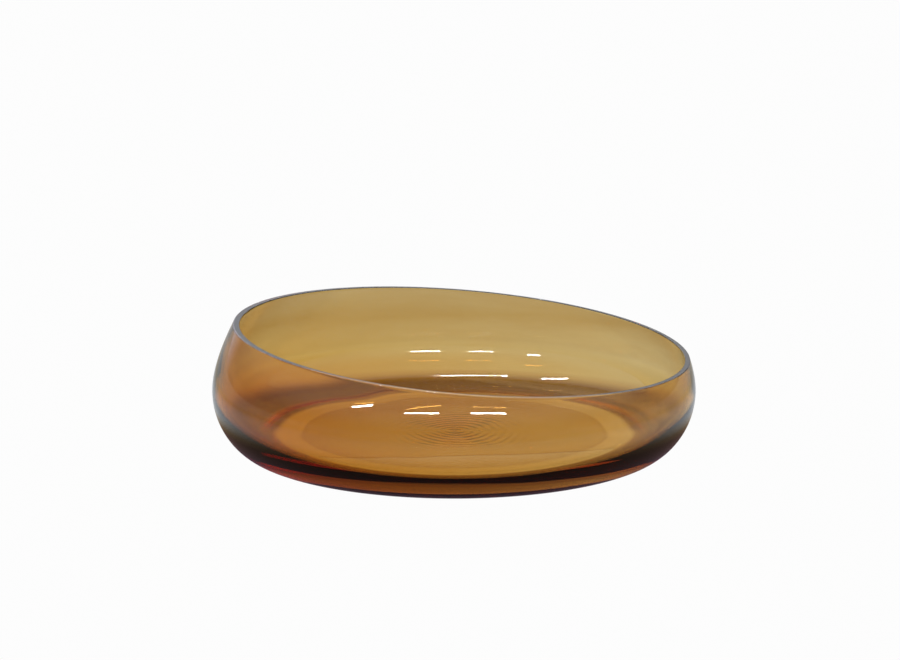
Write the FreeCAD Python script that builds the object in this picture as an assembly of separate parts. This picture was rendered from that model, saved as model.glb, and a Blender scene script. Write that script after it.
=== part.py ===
"""A hand-blown shallow bowl with a slanted rim, in cased glass.

Two layers that were fused hot are modelled as two closed solids that touch face to face:
  clear_outer_casing  the colourless outer gather, with the heel, the base and the ground foot
  amber_inner_layer   the amber lining that is the inside of the bowl, from floor to lip

Millimetres and degrees. +Z is up, the origin is the centre of the ground foot, and the rim is
high towards -X and low towards +X, so that the XZ plane is the bowl's mirror plane.
"""
import FreeCAD, Part
import math
import os

os.makedirs("parts", exist_ok=True)

# Outside of the bowl
BELLY_RADIUS = 155.0      # the widest level
BELLY_HEIGHT = 39.4       # how high the widest level is above the foot
HEEL_RADIUS = 132.2       # where the rounded heel leaves the underside
HEEL_HEIGHT = 1.6         # how far the underside has risen by there
HALF_WAY_SHARE = 0.4      # share of that rise already made half way out from the foot
HEEL_ROUNDNESS = 1.53     # 2 makes the heel a quarter ellipse, and less makes it squarer
FOOT_RADIUS = 99.2        # edge of the flat that is ground on the underside
SHOULDER_SLOPE = 0.746    # inward run per rise that the shoulder tends to
SHOULDER_BEND = 56.0      # rise over which the shoulder turns inwards

# Inside of the bowl
FLOOR_HEIGHT = 7.5        # glass under the floor, which is flat
FLOOR_RADIUS = 118.0      # where the floor turns up into the corner
HOLLOW_SHIFT = 0.6        # how far the hollow is off the outside's axis, towards the rim's low side
BELLY_WALL = 4.2          # wall at the widest level, measured level
LIP_WALL = 3.6            # wall that the shoulder thins towards, measured level
THINNING_RISE = 15.0      # rise above the belly over which half of that thinning happens

# Amber lining
AMBER_THICKNESS = 1.3     # its thickness under the floor and at the widest level, square to its surface
AMBER_POOL = 0.5          # how much thicker it is half way up the corner
AMBER_THINNING = 0.008    # how much thinner it gets per rise above the widest level
AMBER_SHIFT = 0.4         # how much thicker its wall is on the rim's high side, and thinner on the low side
AMBER_TILT = 0.25         # degrees by which it thickens across the floor towards the rim's high side

# Rim
RIM_HEIGHT = 72.5         # the rim plane's height at the bowl's axis
RIM_TILT = 4.9            # the rim plane's angle to the level
OUTER_EDGE_ROUND = 0.8    # polished round on the lip's outer edge
INNER_EDGE_ROUND = 0.4    # polished round on the lip's inner edge

# Working values
BLANK_HEIGHT = 100.0      # the blown blank, before the rim is cut
HEEL_STEPS = 9
SHOULDER_STEPS = 8
CORNER_STEPS = 9
RIM_TOLERANCE = 0.001     # how near the rim plane a point must be to count as in it
EDGE_POINTS = 7           # points at which an edge is tested for lying in the rim plane


def shoulder_inset(rise):
    """How far the outside has turned in at a rise above the widest level."""
    return SHOULDER_SLOPE * rise ** 2 / (rise + SHOULDER_BEND)


def wall_at(rise):
    """The wall's level thickness at a rise above the widest level."""
    thinned = rise ** 2 / (rise ** 2 + THINNING_RISE ** 2)
    return BELLY_WALL - (BELLY_WALL - LIP_WALL) * thinned


def shoulder_rises():
    """Rises above the widest level at which the shoulder is sampled."""
    top = BLANK_HEIGHT - BELLY_HEIGHT
    return [top * step / SHOULDER_STEPS for step in range(1, SHOULDER_STEPS + 1)]


def outer_profile():
    """(radius, height) from the foot's edge, round the heel and up the shoulder."""
    points = [(FOOT_RADIUS, 0.0)]
    points.append(((FOOT_RADIUS + HEEL_RADIUS) / 2, HEEL_HEIGHT * HALF_WAY_SHARE))
    depth = BELLY_HEIGHT - HEEL_HEIGHT
    for step in range(1, HEEL_STEPS + 1):
        angle = math.radians(90.0 * step / HEEL_STEPS)
        inset = math.sin(angle) ** (2 / HEEL_ROUNDNESS)
        radius = HEEL_RADIUS + (BELLY_RADIUS - HEEL_RADIUS) * inset
        points.append((radius, BELLY_HEIGHT - depth * math.cos(angle)))
    for rise in shoulder_rises():
        points.append((BELLY_RADIUS - shoulder_inset(rise), BELLY_HEIGHT + rise))
    return points


def inner_profile():
    """(radius, height) from the floor's edge, round the corner and up the shoulder."""
    corner_width = BELLY_RADIUS - BELLY_WALL - FLOOR_RADIUS
    depth = BELLY_HEIGHT - FLOOR_HEIGHT
    points = []
    for step in range(CORNER_STEPS + 1):
        angle = math.radians(90.0 * step / CORNER_STEPS)
        radius = FLOOR_RADIUS + corner_width * math.sin(angle)
        points.append((radius, BELLY_HEIGHT - depth * math.cos(angle)))
    for rise in shoulder_rises():
        radius = BELLY_RADIUS - shoulder_inset(rise) - wall_at(rise)
        points.append((radius, BELLY_HEIGHT + rise))
    return points


def curve(points, starts_level):
    """A smooth curve through (radius, height) points in the XZ plane."""
    spline = Part.BSplineCurve()
    places = [FreeCAD.Vector(radius, 0, height) for radius, height in points]
    if starts_level:
        ahead = places[-1] - places[-2]
        spline.interpolate(places, InitialTangent=FreeCAD.Vector(1, 0, 0), FinalTangent=ahead.normalize())
    else:
        spline.interpolate(places)
    return spline


def amber_thickness(height):
    """The lining's thickness, square to its surface, at a height on the hollow's surface."""
    if height < BELLY_HEIGHT:
        up_corner = (height - FLOOR_HEIGHT) / (BELLY_HEIGHT - FLOOR_HEIGHT)
        return AMBER_THICKNESS + AMBER_POOL * math.sin(math.pi * up_corner) ** 2
    return AMBER_THICKNESS - AMBER_THINNING * (height - BELLY_HEIGHT)


def meeting_profile(inside, count):
    """(radius, height) where the lining meets the casing, evenly spread along the hollow's curve."""
    points = []
    first, last = inside.FirstParameter, inside.LastParameter
    for step in range(count + 1):
        at = first + (last - first) * step / count
        place, along = inside.getD1(at)
        along.normalize()
        thickness = amber_thickness(place.z)
        points.append((place.x + thickness * along.z, place.z - thickness * along.x))
    return points


def turned(spline, axis_low, axis_high):
    """The solid of revolution between a curve and the axis."""
    start, end = spline.StartPoint, spline.EndPoint
    foot, top = FreeCAD.Vector(0, 0, axis_low), FreeCAD.Vector(0, 0, axis_high)
    edges = [spline.toShape(), Part.makeLine(end, top), Part.makeLine(top, foot)]
    if start.x > 0:
        edges.append(Part.makeLine(foot, start))
    face = Part.Face(Part.Wire(edges))
    return face.revolve(FreeCAD.Vector(0, 0, 0), FreeCAD.Vector(0, 0, 1), 360)


def above_rim():
    """A block that fills the space over the rim plane."""
    side = 4 * BELLY_RADIUS
    block = Part.makeBox(side, side, BELLY_RADIUS, FreeCAD.Vector(-side / 2, -side / 2, 0))
    block.rotate(FreeCAD.Vector(0, 0, 0), FreeCAD.Vector(0, 1, 0), RIM_TILT)
    block.translate(FreeCAD.Vector(0, 0, RIM_HEIGHT))
    return block


def lip_edges(shape):
    """The lip's outer and inner edges: the only edges that lie all in the rim plane."""
    normal = FreeCAD.Vector(math.sin(math.radians(RIM_TILT)), 0, math.cos(math.radians(RIM_TILT)))
    centre = FreeCAD.Vector(0, 0, RIM_HEIGHT)
    found = []
    for edge in shape.Edges:
        if edge.Degenerated:
            continue
        places = edge.discretize(EDGE_POINTS)
        if all(abs((place - centre).dot(normal)) < RIM_TOLERANCE for place in places):
            found.append(edge)
    found.sort(key=lambda edge: edge.BoundBox.YLength, reverse=True)
    return found


def whole_wall():
    """The cut and polished bowl, before it is divided into its two layers."""
    blank = turned(curve(outer_profile(), False), 0.0, BLANK_HEIGHT)
    hollow = turned(curve(inner_profile(), True), FLOOR_HEIGHT, BLANK_HEIGHT)
    hollow.translate(FreeCAD.Vector(HOLLOW_SHIFT, 0, 0))
    wall = blank.cut(hollow).cut(above_rim())
    outer_edge = lip_edges(wall)[0]
    wall = wall.makeFillet(OUTER_EDGE_ROUND, [outer_edge])
    inner_edge = lip_edges(wall)[-1]
    return wall.makeFillet(INNER_EDGE_ROUND, [inner_edge])


def amber_side():
    """Everything inside the surface where the amber lining meets the clear casing."""
    inside = curve(inner_profile(), True)
    meeting = curve(meeting_profile(inside, CORNER_STEPS + SHOULDER_STEPS), True)
    side = turned(meeting, meeting.StartPoint.z, meeting.EndPoint.z)
    side.rotate(FreeCAD.Vector(0, 0, BELLY_HEIGHT), FreeCAD.Vector(0, 1, 0), -AMBER_TILT)
    side.translate(FreeCAD.Vector(HOLLOW_SHIFT - AMBER_SHIFT, 0, 0))
    return side


def write(shape, node):
    """Writes one sub-part, which must be one valid solid."""
    solids = shape.Solids
    if len(solids) != 1 or not solids[0].isValid():
        raise RuntimeError(f"{node} is not one valid solid")
    solids[0].exportStep(f"parts/{node}.step")
    box = solids[0].BoundBox
    print(node, round(solids[0].Volume / 1000, 1), "cm3", round(box.XLength, 2), round(box.YLength, 2),
          round(box.ZMin, 3), round(box.ZMax, 2))


bowl = whole_wall()
lining = amber_side()
write(bowl.cut(lining), "clear_outer_casing")
write(bowl.common(lining), "amber_inner_layer")
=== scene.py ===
"""Looks of the slant-rimmed cased glass bowl: fine meshes, two glass materials, studio and camera."""
import math

import bmesh
import bpy
import numpy as np
from mathutils import Matrix, Vector


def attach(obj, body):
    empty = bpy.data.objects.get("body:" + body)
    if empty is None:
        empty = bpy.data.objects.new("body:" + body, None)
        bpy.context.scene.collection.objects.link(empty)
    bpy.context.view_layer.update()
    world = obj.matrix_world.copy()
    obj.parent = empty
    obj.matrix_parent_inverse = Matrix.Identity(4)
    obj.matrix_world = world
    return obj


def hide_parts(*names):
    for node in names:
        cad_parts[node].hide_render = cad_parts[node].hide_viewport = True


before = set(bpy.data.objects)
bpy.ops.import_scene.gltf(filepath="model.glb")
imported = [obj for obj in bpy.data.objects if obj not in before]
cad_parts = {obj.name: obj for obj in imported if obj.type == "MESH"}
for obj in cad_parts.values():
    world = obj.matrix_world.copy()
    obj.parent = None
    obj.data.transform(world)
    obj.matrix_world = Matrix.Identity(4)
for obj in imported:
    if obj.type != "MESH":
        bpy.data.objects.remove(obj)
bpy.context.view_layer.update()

# ------------------------------------------------ driving sizes, metres, as in part.py
BELLY_RADIUS = 0.155
BELLY_HEIGHT = 0.0394
HEEL_RADIUS = 0.1322
HEEL_HEIGHT = 0.0016
HALF_WAY_SHARE = 0.4
HEEL_ROUNDNESS = 1.53
FOOT_RADIUS = 0.0992
SHOULDER_SLOPE = 0.746
SHOULDER_BEND = 0.056

FLOOR_HEIGHT = 0.0075
FLOOR_RADIUS = 0.118
HOLLOW_SHIFT = 0.0006
BELLY_WALL = 0.0042
LIP_WALL = 0.0036
THINNING_RISE = 0.015

AMBER_THICKNESS = 0.0013
AMBER_SHIFT = 0.0004
AMBER_SLOPE = math.tan(math.radians(0.25))
AMBER_POOL = 0.0005
AMBER_THINNING = 0.008

RIM_HEIGHT = 0.0725
RIM_TILT = math.radians(4.9)
OUTER_EDGE_ROUND = 0.0008
INNER_EDGE_ROUND = 0.0004

# ------------------------------------------------ what the hand left in the glass
RIPPLE_RADIUS = 0.062        # rings round the middle of the floor
RIPPLE_PITCH = 0.0052
RIPPLE_DEPTH = 0.00015
# Shallow waves in the hollow: height, count round the bowl, length up the wall, start
WAVES = (
    (0.00003, 5, 0.047, 0.4),
    (0.00002, 9, 0.031, 2.1),
    (0.00001, 14, 0.023, 4.0),
)

# ------------------------------------------------ mesh fineness
AROUND = 360
HEEL_STEPS = 60
HEEL_JOINT = 10         # the heel's step at which the underside's bend joins it
JOINT_LEAD = 4          # steps past the joint at which the bend takes up the heel's direction
SHOULDER_STEPS = 40
SHOULDER_PART = 0.955   # the part of the rise to the rim that comes before the lip's rounds
CORNER_STEPS = 50
FLOOR_RINGS = 110
ARC_STEPS = 6
FOOT_RINGS = 6
UNDERSIDE_STEPS = 18
RIM_PASSES = 40         # repeats after which the rise to the rim plane has settled
NUDGE = 1e-5            # a step much shorter than any face
ON_AXIS = 1e-7          # points nearer together than this are one point on the axis

INSET = 0.00006         # the outside is drawn this far inside its true size
SKIN = 0.00005          # the lining's surface lies this far under the hollow's
TURN = np.arange(AROUND) * 2 * math.pi / AROUND
RIM_NORMAL = np.array([math.sin(RIM_TILT), 0, math.cos(RIM_TILT)])


# ------------------------------------------------ sections: (radius, height) by turn and step
def shoulder_inset(rise):
    return SHOULDER_SLOPE * rise ** 2 / (rise + SHOULDER_BEND)


def wall_at(rise):
    thinned = rise ** 2 / (rise ** 2 + THINNING_RISE ** 2)
    return BELLY_WALL - (BELLY_WALL - LIP_WALL) * thinned


def outer_radius(rise):
    return BELLY_RADIUS - INSET - shoulder_inset(rise)


def inner_radius(rise):
    return BELLY_RADIUS - shoulder_inset(rise) - wall_at(rise)


def rim_rise(radius_at, shift):
    """The rise above the belly at which a wall meets the slanted rim plane, for every turn."""
    rise = np.full(AROUND, RIM_HEIGHT - BELLY_HEIGHT)
    for _ in range(RIM_PASSES):
        rise = RIM_HEIGHT - BELLY_HEIGHT - math.tan(RIM_TILT) * (radius_at(rise) * np.cos(TURN) + shift)
    return rise


def spread(section):
    """One section repeated for every turn."""
    return np.repeat(np.asarray(section)[None], AROUND, axis=0)


def unit(vector):
    return vector / np.linalg.norm(vector, axis=-1, keepdims=True)


def smooth_curve(points, count):
    """A cubic curve through points, evenly divided by chord length."""
    points = np.asarray(points, float)
    chord = np.concatenate([[0], np.cumsum(np.hypot(*np.diff(points, axis=0).T))])
    slope = np.gradient(points, chord, axis=0)
    at = np.linspace(0, chord[-1], count)
    piece = np.clip(np.searchsorted(chord, at, side="right") - 1, 0, len(chord) - 2)
    width = (chord[piece + 1] - chord[piece])[:, None]
    t = (at - chord[piece])[:, None] / width
    start, end = points[piece], points[piece + 1]
    leaving, arriving = slope[piece] * width, slope[piece + 1] * width
    moved = (end - start) * (3 * t ** 2 - 2 * t ** 3)
    bent = leaving * (t ** 3 - 2 * t ** 2 + t) + arriving * (t ** 3 - t ** 2)
    return start + moved + bent


def heel_section():
    angle = np.radians(np.linspace(0, 90, HEEL_STEPS))
    radius = HEEL_RADIUS + (BELLY_RADIUS - HEEL_RADIUS) * np.sin(angle) ** (2 / HEEL_ROUNDNESS) - INSET
    height = BELLY_HEIGHT - (BELLY_HEIGHT - HEEL_HEIGHT) * np.cos(angle)
    return np.stack([radius, height], -1)


def underside_section():
    """From the foot's edge to the belly."""
    heel = heel_section()
    middle = ((FOOT_RADIUS + HEEL_RADIUS) / 2, HEEL_HEIGHT * HALF_WAY_SHARE)
    anchors = [(FOOT_RADIUS, 0.0), middle, heel[HEEL_JOINT], heel[HEEL_JOINT + JOINT_LEAD]]
    bend = smooth_curve(anchors, UNDERSIDE_STEPS)
    return np.concatenate([bend[bend[:, 0] < heel[HEEL_JOINT, 0] - NUDGE], heel[HEEL_JOINT:]])


def shoulder_section(radius_at, rises):
    part = np.linspace(0, SHOULDER_PART, SHOULDER_STEPS + 1)[1:]
    rise = rises[:, None] * part[None]
    return np.stack([radius_at(rise), BELLY_HEIGHT + rise], -1)


def floor_section():
    """The floor and corner of the hollow, from the middle of the floor to the belly."""
    floor_radius = np.linspace(0, FLOOR_RADIUS, FLOOR_RINGS + 1)
    floor = np.stack([floor_radius, np.full_like(floor_radius, FLOOR_HEIGHT)], -1)
    angle = np.radians(np.linspace(0, 90, CORNER_STEPS + 1))[1:]
    radius = FLOOR_RADIUS + (BELLY_RADIUS - BELLY_WALL - FLOOR_RADIUS) * np.sin(angle)
    height = BELLY_HEIGHT - (BELLY_HEIGHT - FLOOR_HEIGHT) * np.cos(angle)
    return np.concatenate([floor, np.stack([radius, height], -1)])


def square_to(section):
    """The direction into the glass at every point of the hollow's section."""
    along = unit(np.gradient(section, axis=1))
    return np.stack([-along[..., 1], along[..., 0]], -1)


def hand_waves(section):
    """How far the blown hollow's surface stands off its true shape."""
    radius, height = section[..., 0], section[..., 1]
    fade = np.clip(1 - radius / RIPPLE_RADIUS, 0, 1)
    off = -RIPPLE_DEPTH * fade * np.cos(2 * math.pi * radius / RIPPLE_PITCH)
    for depth, count, length, start in WAVES:
        travel = 2 * math.pi * (height + BELLY_RADIUS - radius) / length
        phase = count * TURN[:, None] + start + travel
        off = off + depth * (radius / BELLY_RADIUS) ** 2 * np.cos(phase)
    return off


def amber_thickness(height):
    """The lining's thickness at a height on the hollow's surface, before it leans to one side."""
    up_corner = np.clip((height - FLOOR_HEIGHT) / (BELLY_HEIGHT - FLOOR_HEIGHT), 0, 1)
    thinned = AMBER_THINNING * np.clip(height - BELLY_HEIGHT, 0, None)
    return AMBER_THICKNESS + AMBER_POOL * np.sin(math.pi * up_corner) ** 2 - thinned


def hollow_section(rises):
    """The hollow's surface from just under the lip to the middle of the floor."""
    wall = shoulder_section(inner_radius, rises)[:, ::-1]
    section = np.concatenate([wall, spread(floor_section()[::-1])], axis=1)
    section = section + square_to(section) * hand_waves(section)[..., None]
    section[:, -1, 0] = 0.0
    return section


# ------------------------------------------------ the sections turned about their axes
def place(section, shift=0.0):
    """Points in space for a section at every turn, about an axis moved along X."""
    cos, sin = np.cos(TURN)[:, None], np.sin(TURN)[:, None]
    return np.stack([section[..., 0] * cos + shift, section[..., 0] * sin, section[..., 1]], -1)


def lip_corner(radius_at, shift):
    """Where a wall meets the rim plane: its rise, its place and its way down from there."""
    rises = rim_rise(radius_at, shift)
    top = np.stack([radius_at(rises), BELLY_HEIGHT + rises], -1)[:, None]
    below = np.stack([radius_at(rises - NUDGE), BELLY_HEIGHT + rises - NUDGE], -1)[:, None]
    top, below = place(top, shift)[:, 0], place(below, shift)[:, 0]
    return rises, top, unit(below - top)


def rounded(corner, leaving, arriving, size, inset=0.0):
    """Points of the round between two runs from a corner, drawn inset into the glass."""
    half = np.arccos(np.clip((leaving * arriving).sum(-1), -1, 1))[:, None] / 2
    centre = corner + unit(leaving + arriving) * size / np.sin(half)
    start = corner + leaving * size / np.tan(half) - centre
    end = corner + arriving * size / np.tan(half) - centre
    sweep = math.pi - 2 * half
    points = []
    for step in range(ARC_STEPS + 1):
        t = step / ARC_STEPS
        blend = np.sin((1 - t) * sweep) / np.sin(sweep) * start + np.sin(t * sweep) / np.sin(sweep) * end
        points.append(centre + blend * (1 - inset / size))
    return np.stack(points, 1)


def glass_places():
    """The whole glass body: from the foot's middle round the lip to the floor's middle."""
    outer_rises, outer_top, outer_down = lip_corner(outer_radius, 0.0)
    inner_rises, inner_top, inner_down = lip_corner(inner_radius, HOLLOW_SHIFT)
    inward = unit(inner_top - outer_top)
    foot = np.stack([np.linspace(0, FOOT_RADIUS, FOOT_RINGS + 1)[:-1], np.zeros(FOOT_RINGS)], -1)
    return np.concatenate([
        place(spread(foot)),
        place(spread(underside_section())),
        place(shoulder_section(outer_radius, outer_rises)),
        rounded(outer_top, outer_down, inward, OUTER_EDGE_ROUND),
        rounded(inner_top, -inward, inner_down, INNER_EDGE_ROUND),
        place(hollow_section(inner_rises), HOLLOW_SHIFT),
    ], axis=1)


def lining_places():
    """The lining: down just under the hollow's surface, and back up where it meets the casing."""
    _, outer_top, _ = lip_corner(outer_radius, 0.0)
    inner_rises, inner_top, inner_down = lip_corner(inner_radius, HOLLOW_SHIFT)
    inward = unit(inner_top - outer_top)
    hollow = hollow_section(inner_rises)
    into = square_to(hollow)
    lean = AMBER_SHIFT * into[..., 0] - AMBER_SLOPE * hollow[..., 0] * into[..., 1]
    thickness = amber_thickness(hollow[..., 1]) - lean * np.cos(TURN)[:, None]
    near = hollow + into * SKIN
    far = (hollow + into * thickness[..., None])[:, ::-1]
    near[:, -1, 0] = 0.0
    far[:, 0, 0] = 0.0
    slant = np.sqrt(1 - (inward * inner_down).sum(-1) ** 2)
    ledge = inner_top - inward * (thickness[:, 0] / slant)[:, None] - RIM_NORMAL * SKIN
    return np.concatenate([
        ledge[:, None],
        rounded(inner_top, -inward, inner_down, INNER_EDGE_ROUND, SKIN),
        place(near, HOLLOW_SHIFT),
        place(far, HOLLOW_SHIFT),
    ], axis=1)


def turned(name, places):
    """A closed mesh from the places of a section at every turn, which share their points on the axis."""
    steps = places.shape[1]
    on_axis = {step for step in range(steps) if np.ptp(places[:, step], axis=0).max() < ON_AXIS}

    def vertex(turn, step):
        return step if step in on_axis else turn * steps + step

    # A section that starts on the axis ends on it as well. Any other is joined back to its start.
    joined = steps - 1 if 0 in on_axis else steps
    verts = places.reshape(-1, 3).tolist()
    faces = []
    for turn in range(AROUND):
        after = (turn + 1) % AROUND
        for step in range(joined):
            ahead = (step + 1) % steps
            corners = (vertex(turn, step), vertex(after, step), vertex(after, ahead), vertex(turn, ahead))
            corners = tuple(dict.fromkeys(corners))
            if len(corners) > 2:
                faces.append(corners)
    mesh = bpy.data.meshes.new(name)
    mesh.from_pydata(verts, [], faces)
    solid = bmesh.new()
    solid.from_mesh(mesh)
    bmesh.ops.delete(solid, geom=[vert for vert in solid.verts if not vert.link_faces], context="VERTS")
    bmesh.ops.recalc_face_normals(solid, faces=solid.faces)
    solid.to_mesh(mesh)
    solid.free()
    mesh.polygons.foreach_set("use_smooth", [True] * len(mesh.polygons))
    mesh.update()
    thing = bpy.data.objects.new(name, mesh)
    bpy.context.scene.collection.objects.link(thing)
    return thing


# ------------------------------------------------ materials
GLASS_IOR = 1.5
AMBER_TRANSMITTED = (0.905, 0.665, 0.275)      # through one thickness of the lining, square to it

# Noise scales are per metre, and edges are the noise values between which a pattern comes in
STREAK_TINT = (0.97, 0.94, 0.88)
STREAK_SCALE = (9.0, 9.0, 60.0)
STREAK_LEAN = 0.12           # radians
STREAK_EDGES = (0.35, 0.65)
UNEVEN_SCALE = 22.0
UNEVEN_DEPTH = 0.0002
UNEVEN_STRENGTH = 0.25
HAZE_SCALE = 14.0
HAZE_EDGES = (0.55, 0.75)
HAZE_ROUGHNESS = 0.012
GROUND_FADE = 0.00005        # height over which the foot's ground finish ends
GROUND_ROUGHNESS = 0.12


def new_material(name):
    material = bpy.data.materials.new(name)
    material.use_nodes = True
    material.node_tree.nodes.clear()
    return material


def add(material, kind, **values):
    node = material.node_tree.nodes.new(kind)
    for key, value in values.items():
        node.inputs[key.replace("_", " ")].default_value = value
    return node


def link(material, source, output, target, socket):
    material.node_tree.links.new(source.outputs[output], target.inputs[socket])


def hand_made_bump(material):
    """The very slight unevenness of a fire-polished surface."""
    where = add(material, "ShaderNodeTexCoord")
    noise = add(material, "ShaderNodeTexNoise", Scale=UNEVEN_SCALE, Detail=2.0, Roughness=0.45)
    bump = add(material, "ShaderNodeBump", Strength=UNEVEN_STRENGTH, Distance=UNEVEN_DEPTH)
    link(material, where, "Object", noise, "Vector")
    link(material, noise, "Fac", bump, "Height")
    return bump


def clear_glass():
    """Fire-polished colourless glass with handling haze, and a finely ground foot."""
    material = new_material("clear_glass")
    out = add(material, "ShaderNodeOutputMaterial")
    glass = add(material, "ShaderNodeBsdfPrincipled", Base_Color=(1, 1, 1, 1),
                IOR=GLASS_IOR, Transmission_Weight=1.0)
    where = add(material, "ShaderNodeNewGeometry")
    height = add(material, "ShaderNodeSeparateXYZ")
    ground = add(material, "ShaderNodeMapRange", From_Min=GROUND_FADE, From_Max=0.0,
                 To_Min=0.0, To_Max=GROUND_ROUGHNESS)
    smudges = add(material, "ShaderNodeTexNoise", Scale=HAZE_SCALE, Detail=5.0, Roughness=0.6)
    haze = add(material, "ShaderNodeMapRange", From_Min=HAZE_EDGES[0], From_Max=HAZE_EDGES[1],
               To_Min=0.0, To_Max=HAZE_ROUGHNESS)
    rougher = add(material, "ShaderNodeMath")
    rougher.operation = "MAXIMUM"
    link(material, where, "Position", height, "Vector")
    link(material, height, "Z", ground, "Value")
    link(material, where, "Position", smudges, "Vector")
    link(material, smudges, "Fac", haze, "Value")
    link(material, ground, "Result", rougher, 0)
    link(material, haze, "Result", rougher, 1)
    link(material, rougher, "Value", glass, "Roughness")
    link(material, hand_made_bump(material), "Normal", glass, "Normal")
    link(material, glass, "BSDF", out, "Surface")
    return material


def amber_glass():
    """Amber glass whose colour gathers in faint drawn-out streaks, as stirred glass does."""
    material = new_material("amber_glass")
    out = add(material, "ShaderNodeOutputMaterial")
    glass = add(material, "ShaderNodeBsdfPrincipled", Roughness=0.0, IOR=1.0, Transmission_Weight=1.0)
    where = add(material, "ShaderNodeTexCoord")
    drawn = add(material, "ShaderNodeMapping", Scale=STREAK_SCALE, Rotation=(STREAK_LEAN, 0.0, 0.0))
    streaks = add(material, "ShaderNodeTexNoise", Scale=1.0, Detail=4.0, Roughness=0.55, Distortion=0.6)
    tint = add(material, "ShaderNodeValToRGB")
    for stop, at, colour in zip(tint.color_ramp.elements, STREAK_EDGES, (STREAK_TINT, (1, 1, 1))):
        stop.position = at
        stop.color = (*colour, 1)
    link(material, where, "Object", drawn, "Vector")
    link(material, drawn, "Vector", streaks, "Vector")
    link(material, streaks, "Fac", tint, "Fac")
    link(material, tint, "Color", glass, "Base Color")
    strength = 1 / (AMBER_THICKNESS - SKIN)
    loss = [-math.log(part) * strength for part in AMBER_TRANSMITTED]
    density = max(loss)
    kept = [1 - part / density for part in loss]
    absorb = add(material, "ShaderNodeVolumeAbsorption", Color=(*kept, 1), Density=density)
    link(material, glass, "BSDF", out, "Surface")
    link(material, absorb, "Volume", out, "Volume")
    return material


# ------------------------------------------------ the two layers
casing = turned("clear_casing", glass_places())
casing.data.materials.append(clear_glass())
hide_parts("clear_outer_casing")
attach(casing, "root")

lining = turned("amber_lining", lining_places())
lining.data.materials.append(amber_glass())
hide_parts("amber_inner_layer")
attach(lining, "root")

# ------------------------------------------------ camera
CAMERA_TURN = -69.9          # degrees about +Z, from +X, of the way from the bowl to the camera
CAMERA_RISE = 13.18          # degrees above the level
CAMERA_DISTANCE = 9 * BELLY_RADIUS
CAMERA_LENS = 86.46
CAMERA_SENSOR = 36
CAMERA_SHIFT = (-0.0044, 0.0734)
AIM_PART = 0.2               # of the belly's radius, above the heel
TARGET = Vector((0, 0, AIM_PART * BELLY_RADIUS + HEEL_HEIGHT))


def towards(aside, rise):
    """The unit vector from the bowl at an angle aside from the camera's way (right is plus) and a rise."""
    turn, rise = math.radians(CAMERA_TURN + aside), math.radians(rise)
    return Vector((math.cos(rise) * math.cos(turn), math.cos(rise) * math.sin(turn), math.sin(rise)))


camera = bpy.data.objects.new("camera", bpy.data.cameras.new("camera"))
bpy.context.scene.collection.objects.link(camera)
camera.location = TARGET + towards(0, CAMERA_RISE) * CAMERA_DISTANCE
camera.rotation_euler = (-towards(0, CAMERA_RISE)).to_track_quat("-Z", "Y").to_euler()
camera.data.lens = CAMERA_LENS
camera.data.sensor_width = CAMERA_SENSOR
camera.data.shift_x = CAMERA_SHIFT[0]
camera.data.shift_y = CAMERA_SHIFT[1]
camera.data.clip_end = 100
bpy.context.scene.camera = camera

# ------------------------------------------------ studio
# The camera sees a white sweep. What the glass bends and mirrors is a softer room: a glowing floor with a
# painted shadow ring where the heel's shadow would fall and a painted amber glow under the foot, a bright
# side on the camera's left and a dull one on its right.
SWEEP_SEEN = 0.98
STAGE_RADIUS = 30.0
STAGE_SIDES = 96
STAGE_DROP = 0.0001          # how far the floor lies under the foot
# Painted floor light and shade: the amber glow under the foot stands in for light through the bowl, and
# the dark ring round the heel is a painted contact shadow.
FLOOR_PAINTED_LIGHT = (              # radius, light
    (0.0000, (0.49, 0.45, 0.31)),
    (0.0970, (0.48, 0.44, 0.31)),
    (0.0990, (0.41, 0.36, 0.26)),
    (0.0998, (0.60, 0.60, 0.62)),
    (0.1160, (0.63, 0.65, 0.73)),
    (0.1185, (0.22, 0.17, 0.20)),
    (0.1390, (0.12, 0.08, 0.11)),
    (0.1430, (0.13, 0.08, 0.09)),
    (0.1600, (0.15, 0.09, 0.07)),
    (0.1700, (0.26, 0.18, 0.11)),
    (0.1850, (0.52, 0.47, 0.41)),
    (0.2000, (0.62, 0.64, 0.66)),
    (0.2900, (0.63, 0.65, 0.68)),
    (0.4300, (0.50, 0.45, 0.36)),
    (0.6000, (0.52, 0.50, 0.48)),
)
ROOM_LIGHT = (               # degrees from straight away from the camera, to the right, light
    (-180, (0.50, 0.50, 0.52)),
    (-44, (0.42, 0.42, 0.44)),
    (-30, (1.20, 1.17, 1.32)),
    (-14, (1.30, 1.27, 1.45)),
    (-9, (0.55, 0.56, 0.60)),
    (9, (0.56, 0.56, 0.58)),
    (20, (0.62, 0.61, 0.66)),
    (32, (0.34, 0.33, 0.35)),
    (90, (0.50, 0.50, 0.52)),
    (180, (0.50, 0.50, 0.52)),
)
ROOM_RISE = (0.08, 0.36)     # upward parts of the way between which the room gets brighter
ROOM_STRENGTH = (0.65, 1.60)


def by_value(tree, value, stops):
    """The colour that a list of (value, colour) stops gives for a value."""
    low, high = stops[0][0], stops[-1][0]
    part = tree.nodes.new("ShaderNodeMapRange")
    part.inputs["From Min"].default_value = low
    part.inputs["From Max"].default_value = high
    tree.links.new(value, part.inputs["Value"])
    ramp = tree.nodes.new("ShaderNodeValToRGB")
    elements = ramp.color_ramp.elements
    elements.remove(elements[-1])
    for number, (at, colour) in enumerate(stops):
        element = elements.new((at - low) / (high - low)) if number else elements[0]
        element.position = (at - low) / (high - low)
        element.color = (*colour, 1)
    tree.links.new(part.outputs["Result"], ramp.inputs["Fac"])
    return ramp.outputs["Color"]


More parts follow.
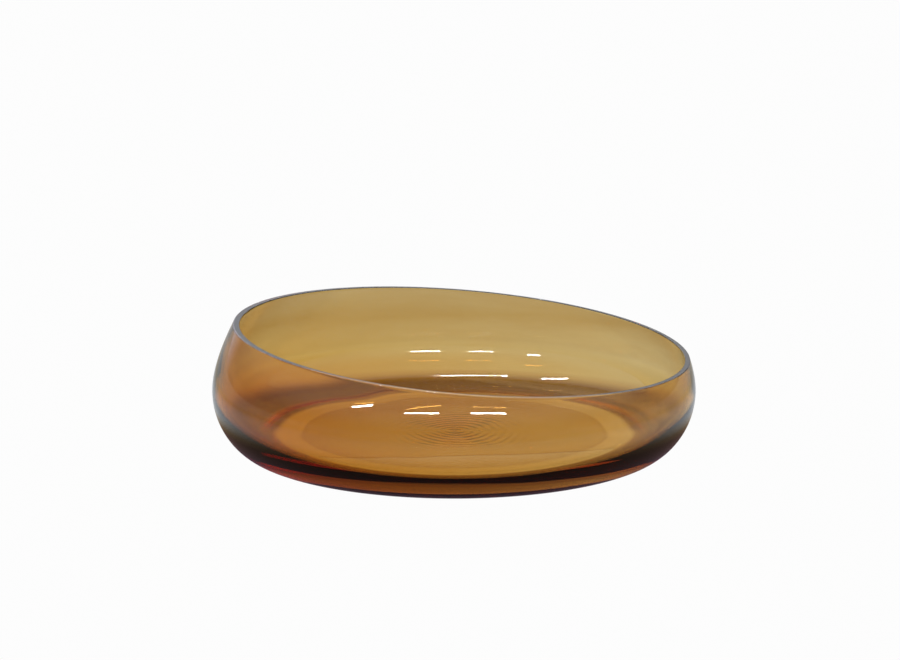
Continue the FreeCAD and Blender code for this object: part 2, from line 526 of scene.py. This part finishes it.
def seen_or_bent(tree, seen, bent):
    """Shows one shader to the camera and the other to light that the glass bends or mirrors."""
    mix = tree.nodes.new("ShaderNodeMixShader")
    path = tree.nodes.new("ShaderNodeLightPath")
    tree.links.new(path.outputs["Is Camera Ray"], mix.inputs[0])
    tree.links.new(bent, mix.inputs[1])
    tree.links.new(seen, mix.inputs[2])
    return mix.outputs[0]


def floor_material():
    material = new_material("studio_floor")
    tree = material.node_tree
    out = add(material, "ShaderNodeOutputMaterial")
    seen = add(material, "ShaderNodeEmission", Color=(SWEEP_SEEN, SWEEP_SEEN, SWEEP_SEEN, 1), Strength=1.0)
    bent = add(material, "ShaderNodeEmission", Strength=1.0)
    where = add(material, "ShaderNodeNewGeometry")
    length = add(material, "ShaderNodeVectorMath")
    length.operation = "LENGTH"
    tree.links.new(where.outputs["Position"], length.inputs[0])
    # The glow that the glass bends is painted light and shadow, set by distance from the bowl's axis.
    tree.links.new(by_value(tree, length.outputs["Value"], FLOOR_PAINTED_LIGHT), bent.inputs["Color"])
    tree.links.new(seen_or_bent(tree, seen.outputs[0], bent.outputs[0]), out.inputs["Surface"])
    return material


def floor_disc():
    mesh = bpy.data.meshes.new("studio_floor")
    turns = [2 * math.pi * side / STAGE_SIDES for side in range(STAGE_SIDES)]
    ring = [(STAGE_RADIUS * math.cos(turn), STAGE_RADIUS * math.sin(turn), -STAGE_DROP) for turn in turns]
    mesh.from_pydata(ring, [], [tuple(range(STAGE_SIDES))])
    floor = bpy.data.objects.new("studio_floor", mesh)
    bpy.context.scene.collection.objects.link(floor)
    floor.data.materials.append(floor_material())


def room():
    world = bpy.data.worlds.new("studio")
    bpy.context.scene.world = world
    world.use_nodes = True
    tree = world.node_tree
    tree.nodes.clear()
    out = tree.nodes.new("ShaderNodeOutputWorld")
    seen = tree.nodes.new("ShaderNodeBackground")
    seen.inputs["Color"].default_value = (1, 1, 1, 1)
    bent = tree.nodes.new("ShaderNodeBackground")
    way = tree.nodes.new("ShaderNodeTexCoord")
    parts = []
    for turn in (CAMERA_TURN + 90, CAMERA_TURN + 180):
        part = tree.nodes.new("ShaderNodeVectorMath")
        part.operation = "DOT_PRODUCT"
        part.inputs[1].default_value = (math.cos(math.radians(turn)), math.sin(math.radians(turn)), 0)
        tree.links.new(way.outputs["Generated"], part.inputs[0])
        parts.append(part.outputs["Value"])
    angle = tree.nodes.new("ShaderNodeMath")
    angle.operation = "ARCTAN2"
    tree.links.new(parts[0], angle.inputs[0])
    tree.links.new(parts[1], angle.inputs[1])
    degrees = tree.nodes.new("ShaderNodeMath")
    degrees.operation = "DEGREES"
    tree.links.new(angle.outputs["Value"], degrees.inputs[0])
    tree.links.new(by_value(tree, degrees.outputs["Value"], ROOM_LIGHT), bent.inputs["Color"])
    height = tree.nodes.new("ShaderNodeSeparateXYZ")
    tree.links.new(way.outputs["Generated"], height.inputs[0])
    rising = tree.nodes.new("ShaderNodeMapRange")
    rising.interpolation_type = "SMOOTHSTEP"
    rising.inputs["From Min"].default_value = ROOM_RISE[0]
    rising.inputs["From Max"].default_value = ROOM_RISE[1]
    rising.inputs["To Min"].default_value = ROOM_STRENGTH[0]
    rising.inputs["To Max"].default_value = ROOM_STRENGTH[1]
    tree.links.new(height.outputs["Z"], rising.inputs["Value"])
    tree.links.new(rising.outputs["Result"], bent.inputs["Strength"])
    tree.links.new(seen_or_bent(tree, seen.outputs[0], bent.outputs[0]), out.inputs["Surface"])


STRIP_LIGHT = 240.0
STRIP_DISTANCE = 4.0
STRIP_RISE = 21.6
STRIP_TALL = 0.045
STRIPS = ((-44, 10), (-15, 16), (16, 16))          # degrees aside, width in degrees
CEILING = ((-0.36, 0.05, 1.5), (-2.05, 0.45, 0.9))  # metres right of the bowl, beyond it, length


def strip(name, place, long, tall):
    """A long thin soft light that lies level and faces the bowl."""
    data = bpy.data.lights.new(name, "AREA")
    data.shape = "RECTANGLE"
    data.size, data.size_y = long, tall
    data.energy = STRIP_LIGHT * math.pi * long * tall
    lamp = bpy.data.objects.new(name, data)
    bpy.context.scene.collection.objects.link(lamp)
    lamp.location = place
    right = towards(90, 0)
    away = (place - Vector((0, 0, BELLY_HEIGHT))).normalized()
    side = (right - away * right.dot(away)).normalized()
    lamp.rotation_euler = Matrix((side, away.cross(side), away)).transposed().to_euler()


def low_strips():
    """A row of strips behind the camera."""
    for number, (aside, width) in enumerate(STRIPS):
        place = towards(aside, STRIP_RISE) * STRIP_DISTANCE
        reach = STRIP_DISTANCE * math.cos(math.radians(STRIP_RISE))
        strip(f"low_strip_{number}", place, 2 * reach * math.tan(math.radians(width / 2)), STRIP_TALL)


def ceiling_strips():
    """Strips over the bowl, square to the camera's way."""
    for number, (right, beyond, long) in enumerate(CEILING):
        place = towards(90, 0) * right + towards(180, 0) * beyond + Vector((0, 0, STRIP_DISTANCE))
        strip(f"ceiling_strip_{number}", place, long, STRIP_TALL)


floor_disc()
room()
low_strips()
ceiling_strips()

# ------------------------------------------------ picture
scene = bpy.context.scene
scene.view_settings.view_transform = "Standard"
scene.cycles.max_bounces = 32
scene.cycles.transmission_bounces = 32
scene.cycles.glossy_bounces = 16
scene.cycles.diffuse_bounces = 3
scene.cycles.transparent_max_bounces = 16
scene.cycles.use_denoising = True
